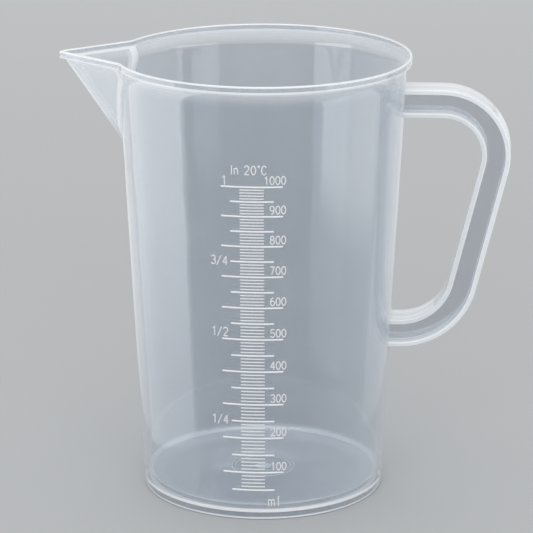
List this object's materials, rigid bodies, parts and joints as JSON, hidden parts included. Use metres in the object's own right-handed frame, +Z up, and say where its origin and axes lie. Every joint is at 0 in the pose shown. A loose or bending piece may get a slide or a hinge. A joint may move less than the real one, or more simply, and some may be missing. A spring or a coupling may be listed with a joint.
{
  "type": "measuring jug",
  "caption": "Clear tapered measuring jug with a flared lip, a V spout, an I-section bow handle and a raised volume scale up its front.",
  "frame": {"origin": "on the plane the jug stands on, under the middle of its length between the spout's tip and the handle", "axes": "+Z up, +X towards the handle and -X towards the spout, -Y towards the graduated scale"},
  "size_m": [0.1756, 0.1158, 0.174],
  "materials": {
    "polypropylene": "clear, faintly milky and cool-toned moulded polypropylene with a smooth gloss"
  },
  "bodies": {
    "root": {"foot_ring": "polypropylene", "floor": "polypropylene", "side_wall": "polypropylene", "rim": "polypropylene", "spout": "polypropylene", "handle_outer_flange": "polypropylene", "handle_web": "polypropylene", "handle_inner_flange": "polypropylene"}
  },
  "joints": []
}
